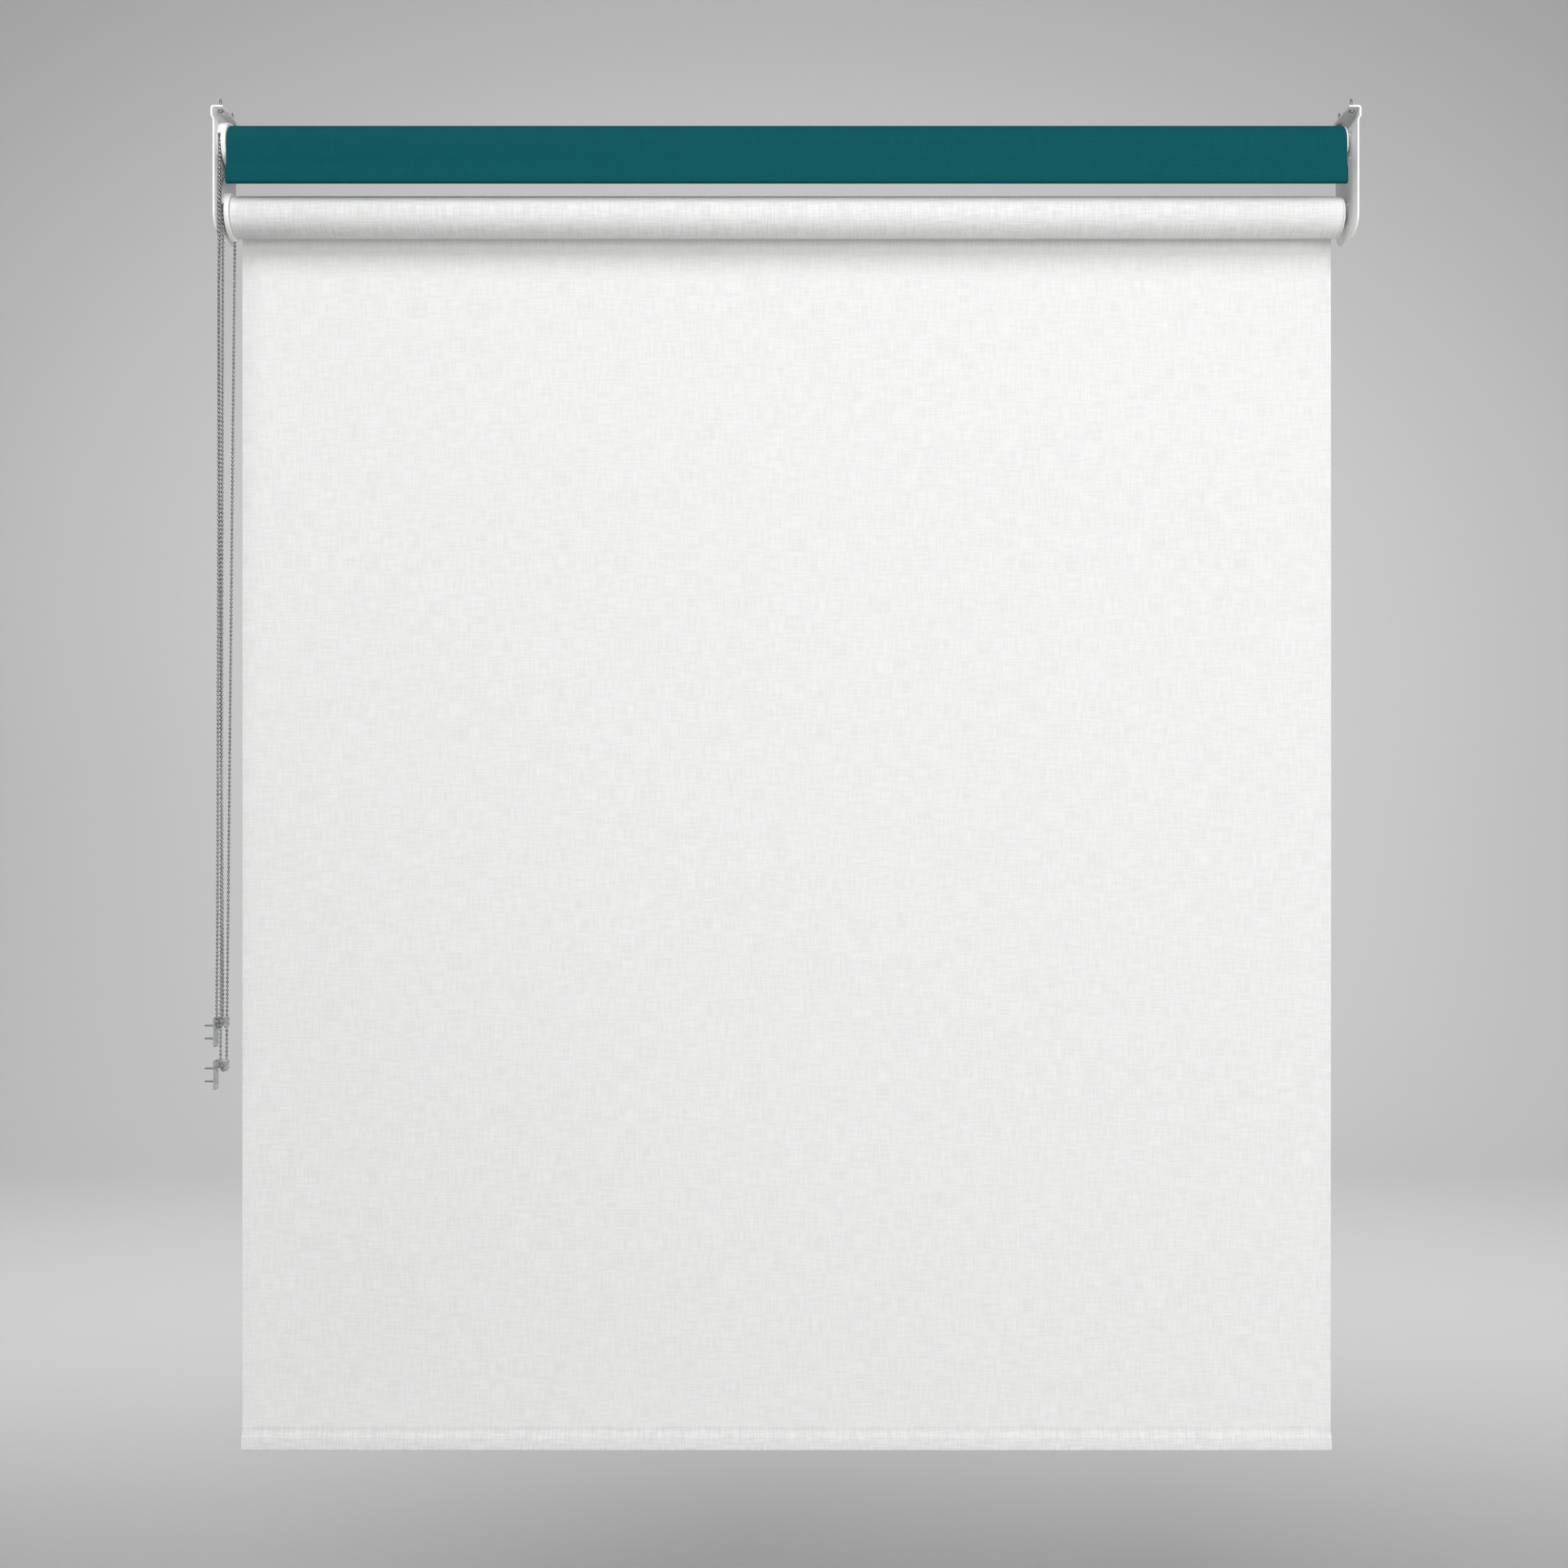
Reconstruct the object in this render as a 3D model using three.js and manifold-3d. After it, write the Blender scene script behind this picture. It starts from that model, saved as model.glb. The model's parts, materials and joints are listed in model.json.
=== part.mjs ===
// A double roller blind: a blackout blind that is rolled up, above a sheer blind that is let down.
// Two pressed-steel brackets hang from a lintel and carry both rollers. Each roller has a chain
// clutch at its left end and a sprung idle pin at its right end, and each chain's loop is held
// to the side wall by its own clip.
// Millimetres. X runs along the rollers, +Y goes away from the room and +Z is up. The origin is
// on the lintel, midway between the brackets and in line with the chain clips.
import * as THREE from 'three';
import { mergeVertices } from 'three/addons/utils/BufferGeometryUtils.js';
import Module from 'manifold-3d';

// Driving dimensions
const fabricWidth = 1140;
const sheerDrop = 1283.6; // lower axis to the sheer blind's bottom edge
const fabricShift = 0.8; // the fabric's middle to the right of the brackets' middle
const gap = 0.3; // left between two pieces that touch
const runningGap = 0.3; // radial, between a turning piece and what it turns on
const chamfer = 1;
const fineChamfer = 0.5;

// Brackets
const plateThickness = 2;
const bracketFront = -35;
const bracketBack = 33;
const bracketHeight = 127.5;
const bracketCorner = 20;
const joggleOffset = 2.2;
const joggleTop = -10.5;
const joggleBottom = -14.5;
const flangeReach = 12.6;
const bendRadius = 3;
const bendInside = 1;
const bendSteps = 6;
const pinHole = 4.3;
const tipProud = 1.2; // how far a post's tip or an idle pin comes through its bracket
const lugSlot = { y: -6, z: 12, length: 5, height: 1.8 };

// Where the two rollers' axes are
const upperAxis = { y: -7, z: -33 };
const lowerAxis = { y: 2, z: -102 };

// Rollers
const tubeRadius = 16;
const tubeWall = 1.2;
const woundFabric = 5; // depth of the cloth on the tube
const keyWidth = 4.4;
const keyDepth = 2.8;
const keyInset = 2; // the key's end to the tube's end
const fabricThickness = 0.5;

// Chain clutch, from the bracket inwards
const clutchRadius = 24;
const clutchBase = 0.7;
const clutchDisc = 4.6;
const coverWall = 2.8;
const coverEnd = 18; // degrees that the cover stops above the axis, front and back
const postRadius = 6;
const hubWall = 1.3;
const hubReach = 8; // of the wheel's hub inside the tube
const springWall = 1.2;
const springTurns = 12;
const springWire = 1.5;
const springGroove = 0.4;
const springInset = 1; // the tube's end to the spring's first turn
const plugLength = 38;
const postShort = 2; // from the post's end to the plug's end

// Chain
const beadDiameter = 3.2;
const beadPitch = 4.25;
const beadsRound = 28;
const sprocketPitch = (beadPitch * beadsRound) / (2 * Math.PI);
const chainSides = 8;
const chainSeat = 1; // from the chain down to the wheel's rim

// Idle end
const idleDisc = { radius: 20.5, thickness: 1.6 };
const idleGap = 6; // from the disc to the bracket
const idleLip = 5; // thickness of the wall that keeps the pin in its cup
const idlePin = 6.2;
const idleShoulder = 7.2;
const shoulderLength = 11;
const idleSpring = 20;
const idleSpringRadius = 5;
const idleSpringTurns = 8;
const idleSpringWire = 1.2;
const plugWall = 3;

// Hem and bottom bar
const hemHeight = 24;
const hemStraight = 12;
const hemThickness = 7;
const hemCorner = 1.2;
const hemSeam = 4; // height of the closed seam, in fabric thicknesses
const hemSlit = 0.1; // half the pocket's width where it closes
const barHeight = 12.6;
const barThickness = 4.4;
const barCap = 3.4;
const capInset = 0.3; // a cap's face to the fabric's edge
const upperHemDrop = 44; // upper axis to the blackout blind's bottom edge

// Fixing screws
const bracketScrew = { head: 2.9, headHeight: 1.9, shank: 1.5, length: 13, y: [-25, 12], inset: 7.2 };
const clipScrew = { head: 2, headHeight: 1.2, shank: 1.2, length: 12 };
const screwGap = 0.4;

// Chain clips
const wallGap = 9; // bracket's outer face to the side wall
const clipPlate = { width: 12, height: 30.7, thickness: 1.6, corner: 3, holes: [8.8, 22.2] };
const clipArm = {
  radius: 7, wall: 1.8, reach: 12.6, above: 0.7, lip: 10, lipThickness: 1.5, lipSpread: 50,
};
const clipTops = [-928.8, -973.1];
const clipAxisDrop = 1.5; // clip's top edge to the middle of its arm

// Sizes that follow from the ones above
const rollRadius = tubeRadius + woundFabric;
const tubeBore = tubeRadius - tubeWall;
const plugRadius = tubeBore - gap;
const chainGroove = beadDiameter + 2 * gap;
const wheelBore = postRadius + runningGap;
const hubBore = wheelBore + springWall + runningGap;
const hubRadius = hubBore + hubWall;
const tipRadius = pinHole - runningGap;

// Places along X that follow too
const fabricLeft = -fabricWidth / 2 + fabricShift;
const fabricRight = fabricLeft + fabricWidth;
const discLeft = fabricLeft - gap - clutchDisc;
const grooveLeft = discLeft - chainGroove;
const baseLeft = grooveLeft - clutchBase;
const plateLeft = baseLeft - gap;
const idleDiscLeft = fabricRight + gap;
const idleDiscRight = idleDiscLeft + idleDisc.thickness;
const plateRight = idleDiscRight + idleGap + gap;
const wallFace = plateLeft - plateThickness - wallGap;
const cupMouth = idleDiscRight - idleLip;
const pinBack = cupMouth - gap - shoulderLength;

// Sides of the round pieces, from the rolls down to the screws
const roundest = 48;
const smooth = 32;
const fine = 20;
const coarse = 12;

const colours = {
  paintedSteel: new THREE.MeshStandardMaterial({ color: 0xe9e9e7, roughness: 0.42, metalness: 0.05 }),
  whitePlastic: new THREE.MeshStandardMaterial({ color: 0xe6e6e3, roughness: 0.5, metalness: 0 }),
  greyPlastic: new THREE.MeshStandardMaterial({ color: 0xb9bab9, roughness: 0.5, metalness: 0 }),
  clearPlastic: new THREE.MeshStandardMaterial({ color: 0xdfe3e4, roughness: 0.15, metalness: 0 }),
  steel: new THREE.MeshStandardMaterial({ color: 0xa6a8aa, roughness: 0.3, metalness: 1 }),
  aluminium: new THREE.MeshStandardMaterial({ color: 0xc9cbcc, roughness: 0.4, metalness: 1 }),
  blackout: new THREE.MeshStandardMaterial({ color: 0x14585e, roughness: 0.85, metalness: 0 }),
  sheer: new THREE.MeshStandardMaterial({ color: 0xf2f2f1, roughness: 0.9, metalness: 0 }),
};

const wasm = await Module();
wasm.setup();

// A geometry as a solid that can be cut and joined.
function solid(geometry) {
  const bare = geometry.clone();
  bare.deleteAttribute('normal');
  bare.deleteAttribute('uv');
  const merged = mergeVertices(bare, 1e-4);
  return new wasm.Manifold(
    new wasm.Mesh({
      numProp: 3,
      vertProperties: new Float32Array(merged.attributes.position.array),
      triVerts: new Uint32Array(merged.index.array),
    }),
  );
}

// The solid's surface as a geometry.
function surface(body) {
  const mesh = body.getMesh();
  const geometry = new THREE.BufferGeometry();
  geometry.setAttribute('position', new THREE.BufferAttribute(mesh.vertProperties, 3));
  geometry.setIndex(new THREE.BufferAttribute(mesh.triVerts, 1));
  geometry.computeVertexNormals();
  return geometry;
}

function piece(name, geometry, material) {
  const mesh = new THREE.Mesh(geometry, material);
  mesh.name = name;
  return mesh;
}

// A body turned about the X axis. The profile is a list of [x, radius] that starts at the low-x
// end, runs along the outside and comes back along the inside or the axis.
function turned(profile, segments = smooth) {
  const points = profile.map(([x, radius]) => new THREE.Vector2(radius, x));
  const first = points[0];
  const last = points[points.length - 1];
  if (first.x > 0 || last.x > 0) points.push(first.clone());
  return new THREE.LatheGeometry(points, segments).rotateZ(-Math.PI / 2);
}

// A ring or sleeve from x0 to x1.
function sleeve(x0, x1, outer, inner, segments = smooth) {
  return turned([[x0, outer], [x1, outer], [x1, inner], [x0, inner]], segments);
}

// A plain round bar along X.
function rod(x0, x1, radius) {
  return turned([[x0, 0], [x0, radius], [x1, radius], [x1, 0]], fine);
}

// A flat outline in Y and Z, drawn out along X from x0 to x1.
function alongX(shape, x0, x1, curveSegments = 6) {
  const geometry = new THREE.ExtrudeGeometry(shape, { depth: x1 - x0, bevelEnabled: false, curveSegments });
  const turn = new THREE.Matrix4().makeBasis(
    new THREE.Vector3(0, 1, 0),
    new THREE.Vector3(0, 0, 1),
    new THREE.Vector3(1, 0, 0),
  );
  return geometry.applyMatrix4(turn).translate(x0, 0, 0);
}

// A flat outline in X and Z, drawn out along Y from y0 to y1.
function alongY(shape, y0, y1, curveSegments = 6) {
  const geometry = new THREE.ExtrudeGeometry(shape, { depth: y1 - y0, bevelEnabled: false, curveSegments });
  const turn = new THREE.Matrix4().makeBasis(
    new THREE.Vector3(1, 0, 0),
    new THREE.Vector3(0, 0, 1),
    new THREE.Vector3(0, -1, 0),
  );
  return geometry.applyMatrix4(turn).translate(0, y1, 0);
}

function block(x0, x1, y0, y1, z0, z1) {
  return new THREE.BoxGeometry(x1 - x0, y1 - y0, z1 - z0)
    .translate((x0 + x1) / 2, (y0 + y1) / 2, (z0 + z1) / 2);
}

// A rectangle with rounded corners.
function roundedRect(x0, y0, x1, y1, radius) {
  const shape = new THREE.Shape();
  shape.moveTo(x0 + radius, y0);
  shape.lineTo(x1 - radius, y0);
  shape.absarc(x1 - radius, y0 + radius, radius, -Math.PI / 2, 0);
  shape.lineTo(x1, y1 - radius);
  shape.absarc(x1 - radius, y1 - radius, radius, 0, Math.PI / 2);
  shape.lineTo(x0 + radius, y1);
  shape.absarc(x0 + radius, y1 - radius, radius, Math.PI / 2, Math.PI);
  shape.lineTo(x0, y0 + radius);
  shape.absarc(x0 + radius, y0 + radius, radius, Math.PI, Math.PI * 1.5);
  return shape;
}

// The bracket's edge as the room sees it: flange, bend, joggle and plate. side is 1 on the right.
function bracketSection(side, inner) {
  const outer = inner + plateThickness;
  const top = -plateThickness;
  const shape = new THREE.Shape();
  const at = (x) => side * x;
  shape.moveTo(at(inner), -bracketHeight);
  shape.lineTo(at(outer), -bracketHeight);
  shape.lineTo(at(outer), joggleBottom);
  shape.lineTo(at(outer + joggleOffset), joggleTop);
  for (let step = 0; step <= bendSteps; step += 1) {
    const turn = (Math.PI / 2) * (step / bendSteps);
    const x = outer + joggleOffset - bendRadius + bendRadius * Math.cos(turn);
    shape.lineTo(at(x), -bendRadius + bendRadius * Math.sin(turn));
  }
  shape.lineTo(at(outer + joggleOffset - flangeReach), 0);
  shape.lineTo(at(outer + joggleOffset - flangeReach), top);
  shape.lineTo(at(inner + joggleOffset - bendInside), top);
  shape.lineTo(at(inner + joggleOffset), top - bendInside);
  shape.lineTo(at(inner + joggleOffset), joggleTop);
  shape.lineTo(at(inner), joggleBottom);
  return shape;
}

// The bracket's outline seen from the side, with its two lower corners rounded.
function bracketOutline() {
  const shape = new THREE.Shape();
  shape.moveTo(bracketFront, 1);
  shape.lineTo(bracketFront, -bracketHeight + bracketCorner);
  shape.absarc(bracketFront + bracketCorner, -bracketHeight + bracketCorner, bracketCorner,
    Math.PI, Math.PI * 1.5);
  shape.lineTo(bracketBack - bracketCorner, -bracketHeight);
  shape.absarc(bracketBack - bracketCorner, -bracketHeight + bracketCorner, bracketCorner,
    -Math.PI / 2, 0);
  shape.lineTo(bracketBack, 1);
  return shape;
}

function bracket(side) {
  const plate = side < 0 ? -plateLeft : plateRight;
  const outside = plate + plateThickness + joggleOffset + chamfer;
  const inside = outside - flangeReach - 2 * chamfer;
  const x0 = Math.min(side * outside, side * inside);
  const x1 = Math.max(side * outside, side * inside);
  let body = solid(alongY(bracketSection(side, plate), bracketFront, bracketBack));
  body = body.intersect(solid(alongX(bracketOutline(), x0, x1, coarse)));
  for (const axis of [upperAxis, lowerAxis]) {
    const hole = rod(x0, x1, pinHole).translate(0, axis.y, axis.z);
    body = body.subtract(solid(hole));
    for (const up of [-1, 1]) {
      const y = axis.y + lugSlot.y;
      const z = axis.z + up * lugSlot.z;
      const half = { y: lugSlot.length / 2, z: lugSlot.height / 2 };
      body = body.subtract(solid(block(x0, x1, y - half.y, y + half.y, z - half.z, z + half.z)));
    }
  }
  for (const y of bracketScrew.y) {
    const drill = new THREE.CylinderGeometry(
      bracketScrew.shank + screwGap, bracketScrew.shank + screwGap, 3 * plateThickness, coarse,
    );
    drill.rotateX(Math.PI / 2).translate(screwX(side), y, -plateThickness / 2);
    body = body.subtract(solid(drill));
  }
  return surface(body);
}

function screwX(side) {
  const plate = side < 0 ? -plateLeft : plateRight;
  return side * (plate + plateThickness + joggleOffset - bracketScrew.inset);
}

// A screw with its head at low x and its point at high x: a flat countersunk head or a pan head.
function screw({ head, headHeight, shank, length }, countersunk) {
  const start = countersunk
    ? [[0, 0], [0, head], [headHeight, shank]]
    : [[0, 0], [0.2 * headHeight, 0.8 * head], [0.6 * headHeight, head], [headHeight, head],
      [headHeight, shank]];
  return turned([...start, [headHeight + length - 2 * shank, shank], [headHeight + length, 0]], coarse);
}

function bracketScrews(side) {
  const word = side < 0 ? 'left' : 'right';
  return bracketScrew.y.map((y, place) => {
    const made = piece(
      `${word}_bracket_screw_${place === 0 ? 'front' : 'back'}`,
      screw(bracketScrew, false),
      colours.steel,
    );
    made.rotation.y = -Math.PI / 2;
    made.position.set(screwX(side), y, -plateThickness - gap - bracketScrew.headHeight);
    return made;
  });
}

// The fixed half of the clutch: a thin disc on the bracket with the post that carries the roller,
// a tip for the bracket's round hole and two lugs that stop it turning.
function clutchBasePlate() {
  const end = fabricLeft + plugLength - postShort;
  const tip = plateLeft - plateThickness - tipProud;
  let body = solid(turned([
    [tip, 0], [tip, tipRadius], [baseLeft, tipRadius],
    [baseLeft, clutchRadius], [grooveLeft, clutchRadius], [grooveLeft, postRadius],
    [end - chamfer, postRadius], [end, postRadius - chamfer], [end, 0],
  ]));
  const halfLength = lugSlot.length / 2 - runningGap;
  const halfHeight = lugSlot.height / 2 - runningGap;
  for (const up of [-1, 1]) {
    const z = up * lugSlot.z;
    body = body.add(solid(block(
      plateLeft - plateThickness, grooveLeft - clutchBase / 2,
      lugSlot.y - halfLength, lugSlot.y + halfLength,
      z - halfHeight, z + halfHeight,
    )));
  }
  return surface(body);
}

// The cover: the inner disc, and a wall over the top of the chain that stops above the axis
// at the front and the back, where the chain comes out.
function clutchCover() {
  const disc = solid(sleeve(discLeft, discLeft + clutchDisc, clutchRadius, hubRadius + runningGap));
  const wall = new THREE.Shape();
  const start = THREE.MathUtils.degToRad(coverEnd);
  const end = Math.PI - start;
  wall.absarc(0, 0, clutchRadius, start, end, false);
  wall.absarc(0, 0, clutchRadius - coverWall, end, start, true);
  const arch = solid(alongX(wall, grooveLeft + gap, discLeft + clutchDisc / 2, fine));
  return surface(disc.add(arch));
}

// The driven wheel in the groove, with the hub that turns the plug inside the tube.
function sprocket() {
  const rim = sprocketPitch - beadDiameter / 2 - chainSeat;
  const x0 = grooveLeft + gap;
  const x1 = discLeft - gap;
  const end = fabricLeft + hubReach;
  return turned([
    [x0, rim], [x1, rim], [x1, hubRadius], [end, hubRadius], [end, hubBore], [x1, hubBore],
    [x1, wheelBore], [x0, wheelBore],
  ]);
}

// The brake spring: close turns of wire that grip the post.
function wrapSpring() {
  const inner = postRadius + gap;
  const outer = inner + springWall;
  const start = fabricLeft + springInset;
  const profile = [];
  for (let turn = 0; turn < springTurns; turn += 1) {
    const x = start + turn * springWire;
    profile.push([x, outer - springGroove], [x + springWire / 2, outer]);
  }
  const end = start + springTurns * springWire;
  return turned([...profile, [end, outer - springGroove], [end, inner], [start, inner]], coarse);
}

// A circle with a square notch at the top, as the tube's fabric groove makes it.
function notchedCircle(Path, radius, halfWidth, notchRadius, clockwise = false) {
  const path = new Path();
  const side = Math.asin(halfWidth / radius);
  path.moveTo(halfWidth, notchRadius);
  path.lineTo(-halfWidth, notchRadius);
  path.absarc(0, 0, radius, Math.PI / 2 + side, Math.PI / 2 - side + 2 * Math.PI, false);
  return clockwise ? new Path(path.getPoints(fine).reverse()) : path;
}

function rollerTube() {
  const outline = notchedCircle(THREE.Shape, tubeRadius, keyWidth / 2, tubeRadius - keyDepth);
  const inside = notchedCircle(
    THREE.Path, tubeBore, keyWidth / 2 + tubeWall, tubeRadius - keyDepth - tubeWall, true,
  );
  outline.holes.push(inside);
  return alongX(outline, fabricLeft, fabricRight, fine);
}

// Cuts the notch that clears the tube's groove out of a plug.
function notchPlug(body, x0, x1) {
  const half = keyWidth / 2 + tubeWall + gap;
  const floor = tubeRadius - keyDepth - tubeWall - gap;
  return body.subtract(solid(block(x0 - chamfer, x1, -half, half, floor, tubeRadius)));
}

function drivePlug() {
  const x0 = fabricLeft;
  const x1 = x0 + plugLength;
  const seat = x0 + hubReach + gap;
  const mouth = hubRadius + gap;
  const bore = hubBore + gap;
  const body = solid(turned([
    [x0, plugRadius], [x1 - chamfer, plugRadius], [x1, plugRadius - chamfer], [x1, bore],
    [seat, bore], [seat, mouth], [x0, mouth],
  ]));
  return surface(notchPlug(body, x0, x1 + chamfer));
}

// The plug at the far end: a disc that covers the tube's end, and a cup for the spring and pin.
function idlePlug() {
  const pinBore = idlePin + runningGap;
  const shoulderBore = idleShoulder + runningGap;
  const floor = pinBack - gap - idleSpring - gap;
  const end = floor - plugWall;
  const body = solid(turned([
    [end, 0], [end, plugRadius - chamfer], [end + chamfer, plugRadius],
    [idleDiscLeft, plugRadius], [idleDiscLeft, idleDisc.radius],
    [idleDiscRight - fineChamfer, idleDisc.radius], [idleDiscRight, idleDisc.radius - fineChamfer],
    [idleDiscRight, pinBore], [cupMouth, pinBore], [cupMouth, shoulderBore],
    [floor, shoulderBore], [floor, 0],
  ]));
  return surface(notchPlug(body, end, fabricRight + gap / 2));
}

function idlePinBody() {
  const step = plateRight - gap;
  const end = plateRight + plateThickness + tipProud;
  return turned([
    [pinBack, 0], [pinBack, idleShoulder], [cupMouth - gap, idleShoulder], [cupMouth - gap, idlePin],
    [step, idlePin], [step, tipRadius], [end - fineChamfer, tipRadius],
    [end, tipRadius - fineChamfer], [end, 0],
  ], fine);
}

// The coil spring behind the pin, as a ribbed sleeve.
function idlePinSpring() {
  const end = pinBack - gap;
  const start = end - idleSpring;
  const pitch = idleSpring / idleSpringTurns;
  const valley = idleSpringRadius - idleSpringWire / 2;
  const inner = idleSpringRadius - idleSpringWire;
  const profile = [];
  for (let turn = 0; turn < idleSpringTurns; turn += 1) {
    const x = start + turn * pitch;
    profile.push([x, valley], [x + pitch / 2, idleSpringRadius]);
  }
  return turned([...profile, [end, valley], [end, inner], [start, inner]], coarse);
}

// The hem's outline from its bottom edge up: straight sides that then lean in to the seam. The
// outline of the pocket inside is the same one set in by the fabric's thickness.
function hemOutline(Path, inset, clockwise = false) {
  const half = hemThickness / 2 - inset;
  const seam = Math.max(fabricThickness - inset, hemSlit);
  const top = hemHeight - inset * hemSeam;
  const path = new Path();
  path.moveTo(-half + hemCorner, inset);
  path.lineTo(half - hemCorner, inset);
  path.absarc(half - hemCorner, inset + hemCorner, hemCorner, -Math.PI / 2, 0);
  path.lineTo(half, hemStraight);
  path.lineTo(seam, top);
  path.lineTo(-seam, top);
  path.lineTo(-half, hemStraight);
  path.lineTo(-half, inset + hemCorner);
  path.absarc(-half + hemCorner, inset + hemCorner, hemCorner, Math.PI, Math.PI * 1.5);
  return clockwise ? new Path(path.getPoints(4).reverse()) : path;
}

// The fabric pocket that the bottom bar lies in, open at both ends.
function hem() {
  const outline = hemOutline(THREE.Shape, 0);
  outline.holes.push(hemOutline(THREE.Path, fabricThickness, true));
  return alongX(outline, fabricLeft, fabricRight, 4);
}

function barOutline() {
  const base = fabricThickness + gap;
  const half = barThickness / 2;
  return roundedRect(-half, base, half, base + barHeight, 0.99 * half);
}

// One roller with everything that turns, slides or hangs with it, about its own axis.
// side is -1 where the fabric comes off the front of the roll and 1 where it comes off the back,
// and drop is the length from the axis to the bottom edge.
function blind({ name, fabric, side, axis, drop }) {
  const group = new THREE.Group();
  group.position.set(0, axis.y, axis.z);
  const add = (word, geometry, material) => {
    const made = piece(`${name}_${word}`, geometry, material);
    group.add(made);
    return made;
  };
  add('clutch_base', clutchBasePlate(), colours.whitePlastic);
  add('clutch_cover', clutchCover(), colours.whitePlastic);
  add('sprocket', sprocket(), colours.greyPlastic);
  add('wrap_spring', wrapSpring(), colours.steel);
  add('drive_plug', drivePlug(), colours.greyPlastic);
  add('roller_tube', rollerTube(), colours.aluminium);
  add('fabric_key', block(
    fabricLeft + keyInset, fabricRight - keyInset,
    -keyWidth / 2 + gap, keyWidth / 2 - gap,
    tubeRadius - keyDepth + gap, tubeRadius - gap / 2,
  ), colours.greyPlastic);
  add('fabric_roll', sleeve(fabricLeft, fabricRight, rollRadius, tubeRadius + gap, roundest), fabric);
  add('idle_plug', idlePlug(), colours.whitePlastic);
  add('idle_pin', idlePinBody(), colours.greyPlastic);
  add('idle_spring', idlePinSpring(), colours.steel);

  const hang = side * (rollRadius + gap + fabricThickness / 2);
  const hemTop = -drop + hemHeight;
  add('fabric_drop', block(
    fabricLeft, fabricRight,
    hang - fabricThickness / 2, hang + fabricThickness / 2,
    hemTop + gap, 0,
  ), fabric);
  const foot = new THREE.Group();
  foot.position.set(0, hang, -drop);
  group.add(foot);
  const capLeft = fabricLeft + capInset;
  const capRight = fabricRight - capInset;
  const bar = [capLeft + barCap + gap, capRight - barCap - gap];
  foot.add(piece(`${name}_hem`, hem(), fabric));
  foot.add(piece(`${name}_bottom_bar`, alongX(barOutline(), ...bar), colours.aluminium));
  foot.add(piece(
    `${name}_bar_cap_left`, alongX(barOutline(), capLeft, capLeft + barCap), colours.whitePlastic,
  ));
  foot.add(piece(
    `${name}_bar_cap_right`, alongX(barOutline(), capRight - barCap, capRight), colours.whitePlastic,
  ));
  return group;
}

// A chain clip: a screwed plate with a curved arm that the loop goes round, and a lip at the
// arm's end. Its top edge is at z = 0 and the wall is at x = 0.
function clipBody() {
  const { width, height, thickness, corner, holes } = clipPlate;
  let body = solid(alongX(roundedRect(-width / 2, -height, width / 2, 0, corner), 0, thickness));
  const centre = -clipAxisDrop;
  const { radius, wall, reach, above, lip, lipThickness, lipSpread } = clipArm;
  const trough = new THREE.Shape();
  trough.moveTo(-radius, centre + above);
  trough.absarc(0, centre, radius, Math.PI, 2 * Math.PI, false);
  trough.lineTo(radius, centre + above);
  trough.lineTo(radius - wall, centre + above);
  trough.absarc(0, centre, radius - wall, 2 * Math.PI, Math.PI, true);
  trough.lineTo(-radius + wall, centre + above);
  body = body.add(solid(alongX(trough, 0, reach)));
  const flare = new THREE.Shape();
  const spread = THREE.MathUtils.degToRad(lipSpread);
  flare.absarc(0, centre, lip, Math.PI * 1.5 - spread, Math.PI * 1.5 + spread, false);
  flare.absarc(0, centre, radius - wall, Math.PI * 1.5 + spread, Math.PI * 1.5 - spread, true);
  body = body.add(solid(alongX(flare, reach - lipThickness, reach)));
  for (const down of holes) {
    const { head, headHeight, shank } = clipScrew;
    const wide = head + gap;
    const narrow = shank + gap;
    const sink = turned([
      [-1, 0], [-1, narrow], [thickness - headHeight, narrow], [thickness, wide],
      [thickness + 1, wide], [thickness + 1, 0],
    ], coarse);
    body = body.subtract(solid(sink.translate(0, 0, -down)));
  }
  return surface(body);
}

function chainClip(name, top) {
  const group = new THREE.Group();
  group.position.set(wallFace, 0, top);
  group.add(piece(`${name}_chain_clip`, clipBody(), colours.clearPlastic));
  clipPlate.holes.forEach((down, place) => {
    const made = piece(
      `${name}_clip_screw_${place === 0 ? 'upper' : 'lower'}`,
      screw(clipScrew, true),
      colours.steel,
    );
    made.rotation.z = Math.PI;
    made.position.set(clipPlate.thickness, 0, -down);
    group.add(made);
  });
  return group;
}

// A chain's route. It takes the same number of steps between each two points, so that the long
// straight runs need few and the bends get enough.
class Route extends THREE.CatmullRomCurve3 {
  getPointAt(share, target) {
    return this.getPoint(share, target);
  }

  getTangentAt(share, target) {
    return this.getTangent(share, target);
  }
}

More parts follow.
